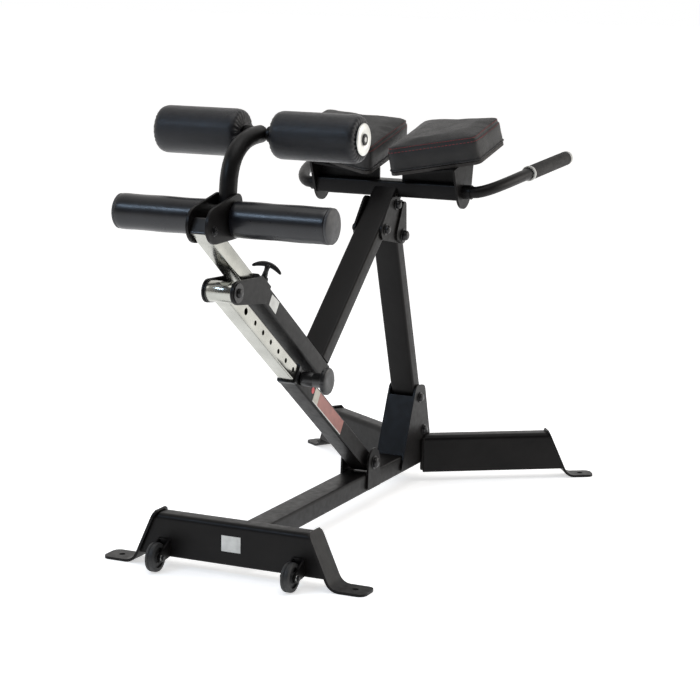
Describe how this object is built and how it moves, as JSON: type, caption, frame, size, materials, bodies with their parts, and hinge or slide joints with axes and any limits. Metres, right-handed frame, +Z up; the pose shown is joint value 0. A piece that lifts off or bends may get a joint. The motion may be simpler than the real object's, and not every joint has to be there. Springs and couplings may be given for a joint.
{
  "type": "roman chair",
  "caption": "Free-standing back extension bench with split hip pads, side handles, ankle rollers on a telescoping leg, and a pinned prop that sets the frame's tilt.",
  "frame": {"origin": "on the floor, below the middle of the outer box", "axes": "+X from the ankle rollers to the hand grips, +Y to the left of a user who faces the grips, +Z up"},
  "size_m": [1.395, 0.8226, 0.9905],
  "materials": {
    "paint": "semi-gloss black powder coat",
    "chrome": "polished chrome plate",
    "black_steel": "black oxide, slightly glossy",
    "zinc": "zinc plate",
    "black_plastic": "semi-gloss black moulding",
    "vinyl": "glossy black vinyl",
    "foam": "skinned black foam",
    "pad_leather": "black leather with red stitching",
    "plywood": "black stained plywood",
    "rubber": "matte black rubber",
    "wheel_rubber": "hard black rubber"
  },
  "bodies": {
    "base": {"main_beam": "paint", "front_stabilizer": "paint", "upright_post": "paint", "upright_gusset": "paint", "gusset_bolt_upper": "black_steel", "gusset_bolt_lower": "black_steel", "pivot_bolt": "black_steel", "prop_hinge_bolt": "black_steel", "front_foot_left": "paint", "front_foot_right": "paint", "rear_leg_left": "paint", "rear_leg_right": "paint", "rear_foot_left": "paint", "rear_foot_right": "paint", "wheel_bracket_left": "paint", "wheel_bracket_right": "paint", "wheel_axle_left": "zinc", "wheel_axle_right": "zinc", "prop_bracket_left": "paint", "prop_bracket_right": "paint"},
    "prop": {"prop_outer_tube": "paint", "prop_collar": "black_plastic", "prop_pin_housing": "paint"},
    "prop_pull_pin": {"prop_pin": "black_plastic", "prop_pin_spring": "zinc"},
    "prop_slider": {"prop_inner_tube": "chrome", "prop_barrel": "chrome"},
    "tilt_frame": {"diagonal_tube": "paint", "arm_tube": "paint", "arm_bushing": "black_plastic", "carriage_bolt": "black_steel", "tilt_bolt_upper": "black_steel", "tilt_bolt_lower": "black_steel", "pad_cross_tube": "paint", "arm_pin_housing": "paint", "carriage_plate_left": "paint", "carriage_plate_right": "paint", "tilt_plate_left": "paint", "tilt_plate_right": "paint", "pad_left": "pad_leather", "pad_right": "pad_leather", "pad_board_left": "plywood", "pad_board_right": "plywood", "handle_left": "paint", "handle_right": "paint", "grip_left": "rubber", "grip_right": "rubber"},
    "arm_pull_pin": {"arm_pin": "black_plastic", "arm_pin_spring": "zinc"},
    "leg": {"leg_tube": "chrome", "roller_bracket": "paint", "lower_axle": "paint", "neck_tube": "paint", "upper_axle": "paint"},
    "upper_roller_left": {"upper_roller_left": "vinyl"},
    "upper_roller_right": {"upper_roller_right": "vinyl"},
    "lower_roller_left": {"lower_roller_left": "foam"},
    "lower_roller_right": {"lower_roller_right": "foam"},
    "wheel_left": {"wheel_left": "wheel_rubber"},
    "wheel_right": {"wheel_right": "wheel_rubber"}
  },
  "joints": [
    {"name": "tilt", "type": "hinge", "parent": "base", "child": "tilt_frame", "pos_m": [0.2525, 0, 0.645], "axis": [0, -1, 0], "range_deg": [0, 28.8]},
    {"name": "prop_hinge", "type": "hinge", "parent": "base", "child": "prop", "pos_m": [0.1155, 0, 0.1125], "axis": [0, -1, 0], "range_deg": [0, 24.8]},
    {"name": "prop_slide", "type": "slide", "parent": "prop", "child": "prop_slider", "axis": [0.8083, 0, -0.5888], "range_m": [0, 0.2695]},
    {"name": "leg_slide", "type": "slide", "parent": "tilt_frame", "child": "leg", "axis": [-0.8039, 0, 0.5948], "range_m": [-0.1016, 0.0508]},
    {"name": "arm_pin_pull", "type": "slide", "parent": "tilt_frame", "child": "arm_pull_pin", "axis": [0.5948, 0, 0.8039], "range_m": [0, 0.012], "stiffness_N_per_m": 500, "springref_m": -0.02},
    {"name": "prop_pin_pull", "type": "slide", "parent": "prop", "child": "prop_pull_pin", "axis": [0, -1, 0], "range_m": [0, 0.01], "stiffness_N_per_m": 500, "springref_m": -0.02},
    {"name": "upper_roller_left_spin", "type": "hinge", "parent": "leg", "child": "upper_roller_left", "pos_m": [-0.4185, 0, 0.937], "axis": [0, 1, 0], "continuous": true},
    {"name": "upper_roller_right_spin", "type": "hinge", "parent": "leg", "child": "upper_roller_right", "pos_m": [-0.4185, 0, 0.937], "axis": [0, 1, 0], "continuous": true},
    {"name": "lower_roller_left_spin", "type": "hinge", "parent": "leg", "child": "lower_roller_left", "pos_m": [-0.5785, 0, 0.775], "axis": [0, 1, 0], "continuous": true},
    {"name": "lower_roller_right_spin", "type": "hinge", "parent": "leg", "child": "lower_roller_right", "pos_m": [-0.5785, 0, 0.775], "axis": [0, 1, 0], "continuous": true},
    {"name": "wheel_left_spin", "type": "hinge", "parent": "base", "child": "wheel_left", "pos_m": [-0.5855, 0.162, 0.032], "axis": [0, 1, 0], "continuous": true},
    {"name": "wheel_right_spin", "type": "hinge", "parent": "base", "child": "wheel_right", "pos_m": [-0.5855, -0.162, 0.032], "axis": [0, 1, 0], "continuous": true}
  ],
  "couplings": [
    {"joint": "prop_hinge", "follows": "tilt", "ratio": 0.86},
    {"joint": "prop_slide", "follows": "tilt", "m_per_rad": 0.5357}
  ]
}
